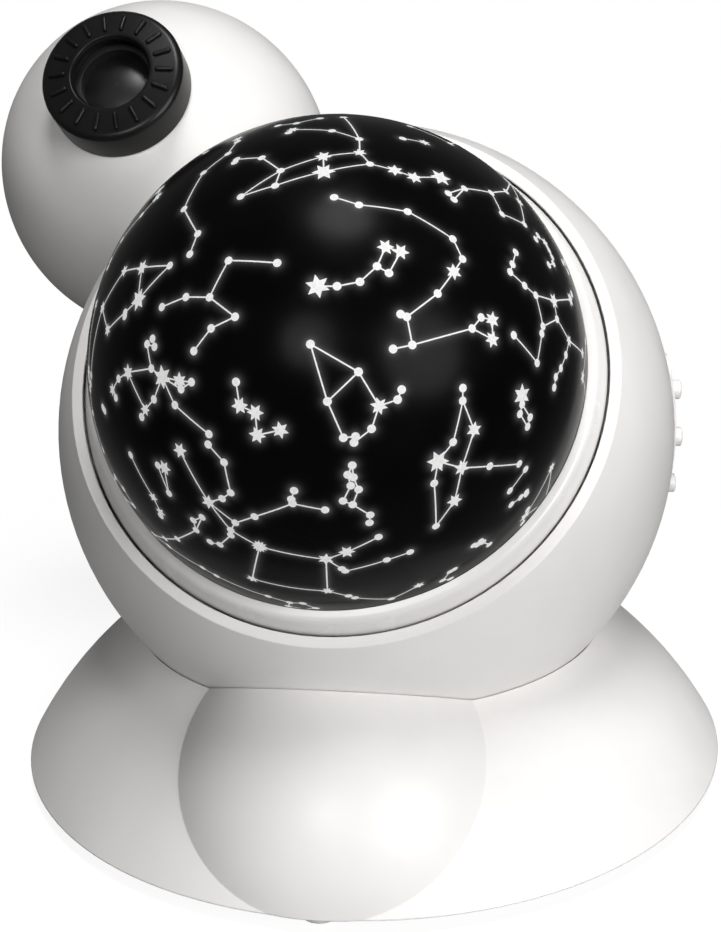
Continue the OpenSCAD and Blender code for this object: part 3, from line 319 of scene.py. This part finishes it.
# ---------- the printed sky ----------
# Each figure: its stars as "key right-ascension-in-hours declination-in-degrees size", then its lines by key.
# Size 0 is a dot, 1 a small star, 2 a star and 3 a great star.
SKY = {
    "little_bear": (
        "p 2.53 89.3 3, a 17.54 86.6 0, b 16.77 82.0 0, c 15.73 77.8 0, k 14.85 74.2 2, "
        "f 15.35 71.8 2, g 16.29 75.8 0",
        "p a b c k f g c"),
    "great_bear": (
        "d 11.06 61.8 3, m 11.03 56.4 2, p 11.90 53.7 1, g 12.26 57.0 0, a 12.90 56.0 2, "
        "z 13.40 54.9 2, e 13.79 49.3 3, h 9.53 63.1 0, o 8.50 60.7 0, u 9.85 59.0 0, "
        "t 9.55 51.7 0, i 9.06 47.2 0, k 8.99 48.0 0, c 11.77 47.8 0, s 11.16 44.5 0, "
        "n 10.37 41.5 1, l 10.28 42.9 0, x 11.31 33.1 0",
        "e z a g d m p g, d h o u m, h u t i, p c s n, c x"),
    "dragon": (
        "l 11.52 69.3 0, k 12.56 69.8 0, a 14.07 64.4 0, i 15.42 59.0 0, t 16.03 58.6 0, "
        "e 16.40 61.5 2, z 17.15 65.7 0, f 18.35 72.7 0, c 18.35 71.3 0, d 19.21 67.7 0, "
        "s 19.80 70.3 0, x 17.89 56.9 0, n 17.54 55.2 0, b 17.51 52.3 2, g 17.94 51.5 2",
        "l k a i t e z c d x n b g x, c f, d s"),
    "king": (
        "a 21.31 62.6 2, b 21.48 70.6 0, g 23.66 77.6 0, i 22.83 66.2 0, z 22.18 58.2 0, "
        "e 22.25 57.0 0, d 22.49 58.4 0, m 21.73 58.8 0, n 20.75 61.8 0, t 20.49 63.0 0",
        "g b a m e z d i g, b i, a n t"),
    "queen": ("e 1.91 63.7 0, d 1.43 60.2 2, g 0.95 60.7 2, a 0.68 56.5 2, b 0.15 59.2 2", "e d g a b"),
    "giraffe": (
        "a 7.00 79.8 0, b 6.32 69.3 0, c 4.90 66.3 0, d 5.06 60.4 0, e 4.95 53.8 0, "
        "f 3.84 71.3 0, g 3.83 65.5 0, h 3.48 59.9 0",
        "a b c d e, c f g h"),
    "lynx": (
        "a 6.33 59.0 0, b 6.95 58.4 0, c 7.45 49.2 0, d 8.38 43.2 0, e 9.01 41.8 0, "
        "f 9.31 36.8 0, g 9.35 34.4 1",
        "a b c d e f g"),
    "charioteer": (
        "c 5.28 46.0 3, b 5.99 44.9 2, d 5.99 54.3 0, t 5.99 37.2 1, n 5.44 28.6 1, "
        "i 4.95 33.2 1, h 5.11 41.2 0, z 5.04 41.1 0",
        "c b d c, b t n i h c, z h"),
    "hero": (
        "a 3.41 49.9 3, g 3.08 53.5 2, e 2.85 55.9 0, t 2.90 52.8 0, k 3.16 44.9 0, "
        "b 3.14 41.0 1, r 3.09 38.8 0, d 3.72 47.8 0, f 3.96 40.0 2, x 3.98 35.8 0, "
        "z 3.90 31.9 1, o 3.74 32.3 0, h 2.74 49.2 0, p 1.73 50.7 0, m 4.25 48.4 0, "
        "l 4.11 50.4 0, n 4.30 50.3 0",
        "a g e t a, a k b r, a d f b, f x z o, a h p, d m l n"),
    "chained_lady": (
        "a 0.14 29.1 2, d 0.66 30.9 0, s 0.64 29.3 0, p 0.61 33.7 0, b 1.16 35.6 2, "
        "m 0.95 38.5 0, n 0.83 41.1 0, g 2.07 42.3 2, f 1.16 47.2 0, v 1.63 48.6 0, "
        "t 0.30 37.5 0, k 23.67 44.3 0, i 23.64 43.3 0, l 23.63 46.5 0, o 23.03 42.3 0, "
        "z 0.79 24.3 0, e 0.96 23.4 0",
        "g b d a, b p t i o, i k l, p d s z e, b m n f v"),
    "winged_horse": (
        "s 23.06 28.1 2, g 0.22 15.2 1, m 23.08 15.2 1, e 22.72 30.2 2, p 22.17 33.2 0, "
        "u 22.83 24.6 0, l 22.78 23.6 0, i 22.12 25.3 0, k 21.74 25.6 0, x 22.78 12.2 0, "
        "z 22.69 10.8 0, t 22.17 6.2 0, n 21.74 9.9 1, a 0.14 29.1 2",
        "a s m g a, s e p, s u l i k, m x z t n"),
    "lizard": (
        "a 22.39 52.2 0, b 22.52 50.3 0, c 22.41 49.5 0, d 22.49 47.7 0, e 22.35 46.5 0, "
        "f 22.68 44.3 0, g 22.51 43.1 0, h 22.23 39.7 0, i 22.27 37.7 0",
        "a b d f g h i, a c e g, b c"),
    "swan": (
        "d 20.69 45.3 3, s 20.37 40.3 2, g 20.77 34.0 2, w 19.75 45.1 2, b 19.51 28.0 0, "
        "e 19.94 35.1 0, z 21.22 30.2 0, i 19.50 51.7 0, k 19.28 53.4 0, o 20.23 46.7 0, "
        "n 20.95 41.2 0",
        "k i w s g z n d o i, d s e b"),
    "lyre": (
        "v 18.62 38.8 3, z 18.75 37.6 0, d 18.91 36.9 0, g 18.98 32.7 0, b 18.83 33.4 0",
        "v z d g b z"),
    "arrow": ("a 19.67 18.0 0, b 19.68 17.2 0, d 19.79 18.5 0, g 19.98 19.5 0", "a d g, b d"),
    "fox": ("a 19.48 24.7 0, b 19.89 24.1 0", "a b"),
    "dolphin": (
        "a 20.66 15.9 0, b 20.63 14.6 0, g 20.78 16.1 0, d 20.72 15.1 0, e 20.55 11.3 0",
        "e b a g d b"),
    "foal": ("a 21.26 5.2 0, d 21.24 10.0 0, g 21.17 10.1 0, b 21.38 6.8 0", "a b d g"),
    "eagle": (
        "a 19.85 8.9 2, b 19.92 6.4 0, g 19.77 10.6 0, z 19.09 13.9 1, d 19.42 3.1 0, "
        "t 20.19 -0.8 0, l 19.10 -4.9 1",
        "g a b t, a z, z d a, d l"),
    "kneeler": (
        "i 17.66 46.0 0, t 17.94 37.3 0, r 17.39 37.1 0, p 17.25 36.8 0, n 16.71 38.9 0, "
        "z 16.69 31.6 2, e 17.00 30.9 0, s 16.57 42.4 0, u 16.33 46.3 0, f 16.15 44.9 0, "
        "c 15.88 42.5 0, b 16.50 21.5 2, g 16.37 19.2 0, d 17.25 24.8 1, l 17.51 26.1 0, "
        "m 17.77 27.7 0, x 17.96 29.2 0, o 18.13 28.8 0, a 17.24 14.4 1",
        "i t r p e z n p, n s u f c, z b g, e d l m x o, d a"),
    "crown": (
        "a 15.58 26.7 1, b 15.46 29.1 0, t 15.55 31.4 0, g 15.71 26.3 0, d 15.83 26.1 0, "
        "e 15.96 26.9 0, i 16.02 29.9 0",
        "t b a g d e i"),
    "herdsman": (
        "a 14.26 19.2 3, e 14.75 27.1 1, d 15.26 33.3 0, b 15.03 40.4 0, g 14.53 38.3 0, "
        "r 14.53 30.4 0, n 13.91 18.4 0, t 14.42 51.9 0, k 14.22 51.8 0, l 14.27 46.1 0, "
        "z 14.69 13.7 0",
        "k t l k, l g b d e a r g, n a z"),
    "hounds": ("a 12.93 38.3 1, b 12.56 41.4 0", "a b"),
    "small_lion": ("a 10.46 36.7 0, b 10.89 34.2 0, c 10.12 35.2 0", "c a b"),
    "lion": (
        "r 10.14 12.0 2, e 10.12 16.8 0, g 10.33 19.8 2, z 10.28 23.4 0, m 9.88 26.0 0, "
        "s 9.76 23.8 0, d 11.24 20.5 1, t 11.24 15.4 0, b 11.82 14.6 2",
        "r e g z m s, g d b t r, d t"),
    "hair": ("g 12.45 28.3 0, b 13.20 27.9 0, a 13.17 17.5 0", "g b a"),
    "crab": ("i 8.78 28.8 0, g 8.72 21.5 0, d 8.74 18.2 0, a 8.97 11.9 0, b 8.28 9.2 0", "i g d a, d b"),
    "twins": (
        "c 7.58 31.9 2, p 7.76 28.0 2, t 7.19 30.2 0, e 6.73 25.1 0, m 6.38 22.5 0, "
        "n 6.25 22.5 0, d 7.34 22.0 0, z 7.07 20.6 0, g 6.63 16.4 1, l 7.30 16.5 0, "
        "x 6.75 12.9 0",
        "c t e m n, c p d z g, d l x"),
    "bull": (
        "a 4.60 16.5 2, n 5.44 28.6 1, z 5.63 21.1 1, t 4.48 15.9 0, g 4.33 15.6 0, "
        "d 4.38 17.5 0, e 4.48 19.2 0, l 4.01 12.5 0, x 3.45 9.7 0, q 3.79 24.1 0, "
        "r 3.75 24.4 0, s 3.82 23.9 0",
        "z a t g d e n, g l x, q r, q s"),
    "hunter": (
        "b 5.92 7.4 2, e 5.42 6.3 2, l 5.59 9.9 0, m 5.53 -0.3 1, o 5.60 -1.2 1, "
        "z 5.68 -1.9 1",
        "b l e m o z b"),
    "ram": ("o 2.83 27.3 0, a 2.12 23.5 1, b 1.91 20.8 1, g 1.89 19.3 0", "o a b g"),
    "triangle": ("b 2.16 35.0 2, g 2.29 33.8 0, a 1.88 29.6 0", "a b g a"),
    "fishes": (
        "u 1.32 27.3 0, t 1.19 30.1 0, f 1.23 24.6 0, n 1.52 15.3 0, o 1.76 9.2 0, "
        "a 2.03 2.8 0, v 1.69 5.5 0, e 1.05 7.9 0, d 0.81 7.6 0, w 23.99 6.9 0, "
        "i 23.67 5.6 0, h 23.47 6.4 0, g 23.29 3.3 0, k 23.45 1.3 0, l 23.70 1.8 0",
        "t u f t, f n o a v e d w i h g k l i"),
    "whale": (
        "a 3.04 4.1 1, g 2.72 3.2 0, x 2.47 8.5 0, m 2.75 10.1 0, l 3.00 8.9 0, o 2.32 -3.0 0",
        "a g x m l a, g o"),
    "water_bearer": (
        "a 22.10 -0.3 1, g 22.36 -1.4 0, z 22.48 0.0 0, n 22.59 -0.1 0, p 22.42 1.4 0, "
        "b 21.53 -5.6 1",
        "b a g z n, z p"),
    "snake_holder": (
        "a 17.58 12.6 2, k 16.96 9.4 0, b 17.72 4.6 1, g 17.80 2.7 0, l 16.51 2.0 0, "
        "d 16.24 -3.7 1, z 16.62 -10.6 1",
        "a k l d z, a b g"),
    "serpent": (
        "g 15.94 15.7 0, b 15.77 15.4 0, k 15.81 18.1 0, d 15.58 10.5 0, a 15.74 6.4 2, "
        "e 15.85 4.5 0, m 15.83 -3.4 0",
        "g b k g, b d a e m"),
    "maiden": (
        "e 13.04 11.0 1, d 12.93 3.4 0, g 12.69 -1.4 1, b 11.84 1.8 0, z 13.58 -0.6 0, "
        "t 14.03 1.5 0",
        "e d g b, d z t"),
}


# lamp names, places, widths and powers, the plain light from all round, and what keeps the floor white
LAMPS = (("key", (0.84, -0.82, 0.42), 0.7, 10.4), ("top", (0.12, -0.28, 1.35), 0.45, 9.2),
         ("front", (-0.06, -1.20, 0.62), 0.45, 4.8))
AMBIENT = 0.005
GLOSS_SKY = 0.15
FLOOR_LIFT = 0.88


# ---------- star dome ----------
def black_dome():
    """Polished black plastic with a soft painted glow, by emission, round the printed lines."""
    m, nt, sh = material("dome_black_painted_glow")
    xyz = coords(nt)
    haze = noise(nt, xyz, 0.06, 4)
    nt.links.new(ramp(nt, haze, [(0.3, (0.0012, 0.0012, 0.0014)), (0.75, (0.0024, 0.0023, 0.0024))]),
                 sh.inputs["Base Color"])
    nt.links.new(remap(nt, haze, 0.3, 0.7, 0.20, 0.27), sh.inputs["Roughness"])
    sh.inputs["IOR"].default_value = 1.12
    # Painted glow: emission that brightens the black round the printed lines.
    at = nt.nodes.new("ShaderNodeAttribute")
    at.attribute_name = "painted_halo"
    glow = mix_colour(nt, at.outputs["Fac"], (0, 0, 0), (0.065, 0.065, 0.068))
    nt.links.new(glow, sh.inputs["Emission Color"])
    sh.inputs["Emission Strength"].default_value = 1.0
    bump(nt, sh, noise(nt, xyz, 0.25, 3), 0.08, 0.03)
    return m


def print_ink():
    """Pale ink of the star print, a little uneven, with a painted glow by emission."""
    m, nt, sh = material("star_ink_painted_glow")
    xyz = coords(nt)
    thin = noise(nt, xyz, 1.6, 5, 0.7)
    tone = ramp(nt, thin, [(0.3, (0.30, 0.30, 0.30)), (0.65, (0.40, 0.40, 0.395))])
    nt.links.new(tone, sh.inputs["Base Color"])
    # Painted glow: the ink's emission colour, so the print shows bright on every side.
    ink_painted_glow = ramp(nt, thin, [(0.3, (0.40, 0.40, 0.395)), (0.7, (0.50, 0.50, 0.49))])
    nt.links.new(ink_painted_glow, sh.inputs["Emission Color"])
    nt.links.new(remap(nt, thin, 0.3, 0.7, 0.5, 0.65), sh.inputs["Roughness"])
    sh.inputs["Emission Strength"].default_value = 0.95
    return m


# Sky axis and zero hour in the dome's own frame, and how much wider the sky is spread than the print.
SKY_POLE = Vector((0.1041, -0.0702, 0.9921)).normalized()
SKY_ZERO = Vector((-0.1995, -0.9787, -0.0483))
SKY_ZERO = (SKY_ZERO - SKY_ZERO.dot(SKY_POLE) * SKY_POLE).normalized()
SKY_SIDE = SKY_POLE.cross(SKY_ZERO)
SKY_SPREAD = 1.06
# The print: its lowest height on the star axis, widths of line, dot and stars, and how proud each stands.
PRINT_LOW = 52.6
LINE_W = 0.30
LINE_STEP = 0.7
DOT_R = 0.84
STAR_R = (1.40, 1.75, 2.40)
STAR_NOTCH = 0.52
LINE_PROUD, DOT_PROUD, STAR_PROUD = 0.045, 0.06, 0.075
# The painted glow reaches this far from the print, in millimetres, and fades over the second length.
GLOW_BAND, GLOW_FADE = 4.5, 0.5


def sky_point(hours, degrees):
    """Unit direction from the dome's centre, in its frame, of a place in the sky seen from outside."""
    a, d = math.radians(-15 * hours), math.radians(degrees)
    v = math.sin(d) * SKY_POLE + math.cos(d) * (math.cos(a) * SKY_ZERO + math.sin(a) * SKY_SIDE)
    lean = math.acos(max(-1, min(1, v.z))) / SKY_SPREAD
    flat = Vector((v.x, v.y, 0)).normalized()
    return math.sin(lean) * flat + math.cos(lean) * Vector((0, 0, 1))


def on_dome(direction, proud):
    p = direction.normalized() * (DOME_BALL_R + proud)
    return Vector((p.x, p.y, p.z + DOME_BALL_Z))


def great_arc(a, b, step):
    angle = a.angle(b)
    n = max(2, int(math.ceil(angle / step)))
    return [((a * math.sin((1 - k / n) * angle) + b * math.sin(k / n * angle)) / math.sin(angle)).normalized()
            for k in range(n + 1)]


def star_map():
    """The printed figures as thin raised ink, and the points that the painted glow follows."""
    verts, faces, trail = [], [], []

    def flat_shape(centre, outline, proud):
        start = len(verts)
        verts.append(on_dome(centre, proud))
        verts.extend(on_dome(v, proud) for v in outline)
        n = len(outline)
        faces.extend((start, start + 1 + k, start + 1 + (k + 1) % n) for k in range(n))

    for fi, (stars, lines) in enumerate(SKY.values()):
        place = {}
        for entry in stars.split(","):
            key, hours, degrees, size = entry.split()
            place[key] = (sky_point(float(hours), float(degrees)), int(size))
        for chain in lines.split(","):
            keys = chain.split()
            for a, b in zip(keys, keys[1:]):
                way = great_arc(place[a][0], place[b][0], LINE_STEP / DOME_BALL_R)
                way = [v for v in way if on_dome(v, 0).z > PRINT_LOW]
                trail.extend((v, LINE_W / 2) for v in way)
                start = len(verts)
                for k, v in enumerate(way):
                    ahead = way[min(k + 1, len(way) - 1)] - way[max(k - 1, 0)]
                    side = v.cross(ahead).normalized() * (LINE_W / 2 / DOME_BALL_R)
                    for s in (-1, 0, 1):
                        verts.append(on_dome(v + side * s, LINE_PROUD))
                for k in range(len(way) - 1):
                    for s in (0, 1):
                        i = start + 3 * k + s
                        faces.append((i, i + 3, i + 4, i + 1))
        for ki, (key, (v, size)) in enumerate(place.items()):
            if on_dome(v, 0).z < PRINT_LOW + 0.5:
                continue
            u = v.orthogonal().normalized()
            w = v.cross(u)
            if size == 0:
                r, n, proud = DOT_R, 18, DOT_PROUD
                outline = [(r, 2 * math.pi * k / n) for k in range(n)]
            else:
                r, proud = STAR_R[size - 1], STAR_PROUD
                spin = 0.9 * ki + 0.37 * fi
                outline = [(r if k % 2 == 0 else r * STAR_NOTCH, spin + math.pi * k / 6) for k in range(12)]
            shape = [v + (u * math.cos(a) + w * math.sin(a)) * (q / DOME_BALL_R) for q, a in outline]
            flat_shape(v, shape, proud)
            trail.append((v, r * (1.0 if size == 0 else 0.78)))
    return verts, faces, trail


verts, faces, trail = star_map()
new_piece("star_map_print", [STAR @ v * MM for v in verts], faces, "star_turn", print_ink())

rings, around = ((170, 640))
low = math.degrees(math.acos((DOME_SEAT - DOME_BALL_Z) / DOME_BALL_R))
profile = [(DOME_R - DOME_WALL, SHELF + REST_GAP), (DOME_R, SHELF + REST_GAP)]
profile += [(DOME_BALL_R * math.sin(math.radians(low * (1 - k / rings))),
             DOME_BALL_Z + DOME_BALL_R * math.cos(math.radians(low * (1 - k / rings)))) for k in range(rings)]
profile.append((0, DOME_SEAT + DOME_RISE))
verts, faces = lathe(profile, STAR, around)
dome = new_piece("star_dome_shell", verts, faces, "star_turn", black_dome(), "star_dome")
inverse = np.array(STAR.inverted())
pts = np.empty(len(dome.data.vertices) * 3, np.float32)
dome.data.vertices.foreach_get("co", pts)
pts = pts.reshape(-1, 3) / MM
pts = pts @ inverse[:3, :3].T + inverse[:3, 3]
# Painted glow round the print, per point: it fades with distance from each line and star.
painted_halo = np.zeros(len(pts), np.float32)
for v, reach in trail:
    p = np.array(on_dome(v, 0))
    near = np.abs(pts[:, 2] - p[2]) < GLOW_BAND
    d = np.linalg.norm(pts[near] - p, axis=1) - reach
    painted_halo[near] = np.maximum(painted_halo[near], np.exp(-np.clip(d, 0, None) / GLOW_FADE))
attr = dome.data.attributes.new("painted_halo", "FLOAT", "POINT")
attr.data.foreach_set("value", painted_halo)

# ---------- collar, lip and ball ----------
BALL_WHITE = plastic("ball_white", WHITE, seam=ball_seam)
POD_WHITE = plastic("pod_white", WHITE, seam=pod_seam)
BASE_WHITE = plastic("base_white", WHITE)
KEY_WHITE = plastic("key_white", WHITE, rough=0.28, grain_mm=0.6, edge=0.3)
collar_profile = rounded(
    [(49.7, 45.4), (57.2, 45.4), (57.2, 42.0), (60.5, 41.6), (61.3, 43.4), (61.3, 47.1), (59.35, 50.7),
     (58.55, 51.5), (56.66, 51.8), (56.66, 47.7), (49.7, 47.7)],
    [0, 0, 0, 0, 0.6, 1.1, 0.9, 0.8, 0.12, 0, 0], 6)
verts, faces = lathe(collar_profile, STAR, 300, closed=True)
new_piece("dome_collar_ring", verts, faces, "star_turn",
          plastic("collar_white", WHITE, rough=0.24, grain=0.12, edge=0), "dome_collar")


# ---------- focus ring ----------
def ring_black():
    m, nt, sh = material("ring_black")
    xyz = coords(nt)
    fine = noise(nt, xyz, 3.2, 6, 0.65)
    broad = noise(nt, xyz, 0.12, 4)
    nt.links.new(ramp(nt, broad, [(0.3, (0.004, 0.004, 0.0042)), (0.7, (0.007, 0.0069, 0.0067))]),
                 sh.inputs["Base Color"])
    nt.links.new(remap(nt, fine, 0.3, 0.7, 0.26, 0.36), sh.inputs["Roughness"])
    sh.inputs["IOR"].default_value = 1.28
    bump(nt, sh, fine, 0.18, 0.02)
    return m


# The focus ring, along the lens axis from the pod's centre: radius, face height, mouth, and its foot,
# which follows the pod's ball.
RING_R, FACE, MOUTH_R = 19.6, 57.2, 10.3
FACE_LOW, FACE_IN, FACE_OUT = 56.3, 11.7, 18.4
POD_CLEAR_R, HUG_GAP = 50.4, 0.05
hug = math.sqrt(POD_CLEAR_R ** 2 - RING_R ** 2) + HUG_GAP
ring_profile = rounded(
    [(13.7, 48.6), (RING_R, hug), (RING_R, 55.5), (FACE_OUT, FACE_LOW + 0.1), (FACE_IN, FACE), (11.0, FACE),
     (MOUTH_R, 56.0), (MOUTH_R, 55.4), (15.0, 55.4), (15.0, 53.3), (13.6, 53.3)],
    [0, 0.4, 1.4, 1.3, 0.7, 0.7, 0.8, 0.1, 0, 0, 0], 8)
verts, faces = lathe(ring_profile, LENS, 216, closed=True)
BARS, BAR_IN, BAR_OUT, BAR_R = 18, 12.4, 17.4, 0.62
BAR_LIFT, BAR_FLAT, FIRST_BAR = 0.20, 0.95, 0.1


def face_height(r):
    return FACE + (FACE_LOW + 0.1 - FACE) * (r - FACE_IN) / (FACE_OUT - FACE_IN)


def rib(angle):
    """One rounded radial bar, half sunk in the sloping face."""
    start = len(verts)
    steps, sides = 14, 12
    length = BAR_OUT - BAR_IN
    for k in range(steps + 1):
        t = -math.cos(math.pi * k / steps) * 0.5 + 0.5
        along = BAR_IN + length * t
        edge = min(along - BAR_IN, BAR_OUT - along)
        rad = BAR_R * math.sqrt(max(0.0, 1 - max(0.0, 1 - edge / BAR_R) ** 2)) + 1e-4
        for s in range(sides):
            a = 2 * math.pi * s / sides
            high = face_height(along) + BAR_LIFT + rad * BAR_FLAT * math.sin(a)
            p = Vector((along, rad * math.cos(a), high))
            verts.append(LENS @ (Matrix.Rotation(angle, 4, "Z") @ p) * MM)
    for k in range(steps):
        for s in range(sides):
            i, j = start + k * sides + s, start + k * sides + (s + 1) % sides
            faces.append((i, j, j + sides, i + sides))
    faces.append(tuple(start + s for s in reversed(range(sides))))
    faces.append(tuple(start + steps * sides + s for s in range(sides)))


for k in range(BARS):
    rib(2 * math.pi * (k + FIRST_BAR) / BARS)
new_piece("focus_knob", verts, faces, "focus", ring_black(), "focus_ring")


# ---------- push buttons ----------
# From the ball's centre: the panel's face, the cap's radius and how far it stands out, its foot and flange.
PANEL_R, KEY_R, KEY_PROUD, KEY_FOOT = 80.6, 2.5, 2.0, 71.2
FLANGE_R, FLANGE_LOW, FLANGE_TOP = 3.2, 75.2, 76.4


def push_button(name, node, body, down):
    """A round cap with a flange behind the panel, down millimetres below the panel's middle."""
    top = math.sqrt(PANEL_R ** 2 - down ** 2) + KEY_PROUD
    profile = rounded(
        [(0, KEY_FOOT), (KEY_R, KEY_FOOT), (KEY_R, FLANGE_LOW), (FLANGE_R, FLANGE_LOW),
         (FLANGE_R, FLANGE_TOP), (KEY_R, FLANGE_TOP), (KEY_R, top - 0.35), (1.9, top), (0, top - 0.12)],
        [0, 0.2, 0, 0.1, 0.1, 0, 0.45, 0.5, 0], 5)
    v, f = lathe(profile, PANEL @ Matrix.Translation((down, 0, 0)), 64)
    new_piece(name, v, f, body, KEY_WHITE, node)


push_button("push_button_top", "button_top", "key_top", -11.6)
push_button("push_button_middle", "button_middle", "key_middle", 1.0)
push_button("push_button_bottom", "button_bottom_key", "key_bottom", 13.6)

# ---------- the other solids keep their shape and get their materials ----------
steel = metal("screw_zinc", (0.56, 0.565, 0.57), 0.28)
finish = {
    "front_shell": BALL_WHITE, "rear_shell": BALL_WHITE, "pod_front": POD_WHITE, "pod_rear": POD_WHITE,
    "base_shell": BASE_WHITE, "button_panel": KEY_WHITE,
    "base_plate": plastic("under_grey", (0.62, 0.61, 0.59), rough=0.5, grain=0.6, grain_mm=0.5),
    "rubber_feet": plastic("foot_rubber", (0.66, 0.65, 0.63), rough=0.6, grain=0.5, grain_mm=0.4),
    "status_pips": plastic("pip_frosted", (0.70, 0.72, 0.69), rough=0.35, grain_mm=0.3, edge=0.15),
    "dc_jack": plastic("jack_black", (0.02, 0.02, 0.021), rough=0.4, edge=0.2),
    "lens_barrel": plastic("barrel_black", (0.012, 0.012, 0.012), rough=0.5, grain=0.5, grain_mm=0.25,
                           edge=0.2),
    "star_deck": plastic("deck_grey", (0.05, 0.05, 0.054), rough=0.5, edge=0.3),
    "motor_pinion": plastic("acetal", (0.74, 0.70, 0.58), rough=0.42, edge=0.1),
    "control_board": plastic("board_green", (0.03, 0.14, 0.05), rough=0.35, grain_mm=0.3, tone=0.12,
                             edge=0.1),
    "key_switches": plastic("switch_black", (0.03, 0.03, 0.032), rough=0.4, edge=0.15),
    "star_lamp": plastic("lamp_epoxy", (0.80, 0.76, 0.55), rough=0.15, edge=0.2),
    "picture_disc": plastic("disc_black", (0.025, 0.025, 0.027), rough=0.45, edge=0.15),
    "picture_film": plastic("slide_film", (0.06, 0.12, 0.28), rough=0.12, grain_mm=4, tone=0.25, edge=0),
    "motor_shaft": metal("shaft_ground", (0.68, 0.68, 0.69), 0.18),
    "star_motor": metal("motor_can", (0.60, 0.60, 0.61), 0.3, (14, 1, 1), 0.4),
    "clamp_ring": metal("clamp_alloy", (0.66, 0.66, 0.67), 0.38, (6, 6, 1), 0.3),
    "picture_lamp": metal("heat_sink", (0.68, 0.68, 0.69), 0.42, (1, 9, 9), 0.2),
    "cell_contacts": metal("contact_nickel", (0.70, 0.68, 0.63), 0.22),
    "cells": metal("cell_case", (0.32, 0.33, 0.36), 0.35, (1, 10, 10), 0.4),
    # The objective's glass is tinted dark: painted shade of the dark inside behind it.
    "objective_lens": glass("lens_tint_painted_shade", (0.10, 0.10, 0.105), 0.34),
    "condenser_lens": glass("condenser_clear", (0.95, 0.97, 0.97)),
}
finish["battery_door"] = finish["dome_keeper"] = finish["base_plate"]
finish["lens_cell"] = finish["optic_frame"] = finish["lens_barrel"]
finish["ring_gear"] = finish["motor_pinion"]
for name, ob in NODES.items():
    m = finish.get(name) or (steel if name.endswith("screws") or name == "door_screw" else None)
    if m is None:
        continue
    if not ob.data.materials:
        ob.data.materials.append(m)
    for slot in ob.material_slots:
        slot.material = m

# ---------- camera ----------
# The photograph's view, solved from its outlines: focal length and picture height in pixels, place and axes.
FOCAL_PX, PHOTO_H_PX = 1300, 932
CAM_PLACE = Vector((61.792, -340.302, 178.9))
CAM_RIGHT = Vector((0.98903679, 0.14564178, -0.02438644))
CAM_DOWN = Vector((0.0191265, -0.29009481, -0.95680676))
CAM_AHEAD = Vector((-0.14642542, 0.94585066, -0.28970006))
scene = bpy.context.scene
cam_data = bpy.data.cameras.new("camera")
camera = bpy.data.objects.new("camera", cam_data)
scene.collection.objects.link(camera)
scene.camera = camera
cam_data.sensor_fit = "AUTO"
cam_data.sensor_width = 36.0
cam_data.lens = cam_data.sensor_width * FOCAL_PX / PHOTO_H_PX
cam_data.clip_start = 0.01
cam_data.clip_end = 20
pose = Matrix.Identity(4)
for i, v in enumerate((CAM_RIGHT, -CAM_DOWN, -CAM_AHEAD, CAM_PLACE * MM)):
    pose.col[i][:3] = v
camera.matrix_world = pose

# ---------- floor, lamps and world ----------
def seen_white(nt):
    """1 for what the camera sees directly or through glass, and a faint white for gloss."""
    path = nt.nodes.new("ShaderNodeLightPath")
    seen = math_node(nt, "MULTIPLY", path.outputs["Is Glossy Ray"], GLOSS_SKY)
    seen = math_node(nt, "MAXIMUM", seen, path.outputs["Is Camera Ray"])
    return math_node(nt, "MAXIMUM", seen, path.outputs["Is Transmission Ray"])


# Half the floor's width and its height, in metres, and where its tone fades to plain white, in millimetres.
FLOOR_SIZE, FLOOR_Z = 3.0, -0.0002
FADE_FROM, FADE_TO = 150, 300
LAMP_AIM = (0, 0, 0.09)
me = bpy.data.meshes.new("floor")
me.from_pydata([(x * FLOOR_SIZE, y * FLOOR_SIZE, FLOOR_Z) for x, y in ((-1, -1), (1, -1), (1, 1), (-1, 1))],
               [], [(0, 1, 2, 3)])
floor = bpy.data.objects.new("floor", me)
scene.collection.objects.link(floor)
m, nt, sh = material("floor_white")
xyz = coords(nt)
reach = nt.nodes.new("ShaderNodeVectorMath")
reach.operation = "LENGTH"
nt.links.new(xyz, reach.inputs[0])
far = remap(nt, reach.outputs["Value"], FADE_FROM, FADE_TO, 0, 1)
tone = ramp(nt, noise(nt, xyz, 0.004, 3), [(0.3, (0.20, 0.20, 0.20)), (0.7, (0.23, 0.23, 0.23))])
nt.links.new(mix_colour(nt, far, tone, (0, 0, 0)), sh.inputs["Base Color"])
sh.inputs["Roughness"].default_value = 0.9
sh.inputs["IOR"].default_value = 1.02
seen = seen_white(nt)
sh.inputs["Emission Color"].default_value = (1, 1, 1, 1)
lift = math_node(nt, "MULTIPLY", seen, remap(nt, far, 0, 1, FLOOR_LIFT, 1.0))
nt.links.new(lift, sh.inputs["Emission Strength"])
me.materials.append(m)

world = bpy.data.worlds.new("studio")
scene.world = world
world.use_nodes = True
nt = world.node_tree
bg = nt.nodes["Background"]
seen = seen_white(nt)
nt.links.new(math_node(nt, "MAXIMUM", seen, AMBIENT), bg.inputs["Strength"])
bg.inputs["Color"].default_value = (1, 1, 1, 1)


def lamp(name, place, aim, size, power):
    """A round area lamp, in metres and watts, that looks at aim."""
    data = bpy.data.lights.new(name, "AREA")
    data.shape = "DISK"
    data.size = size
    data.energy = power
    ob = bpy.data.objects.new(name, data)
    scene.collection.objects.link(ob)
    ob.location = place
    ob.rotation_euler = (Vector(aim) - Vector(place)).to_track_quat("-Z", "Y").to_euler()


for name, place, size, power in LAMPS:
    lamp(name, place, LAMP_AIM, size, power)
scene.view_settings.view_transform = "Standard"
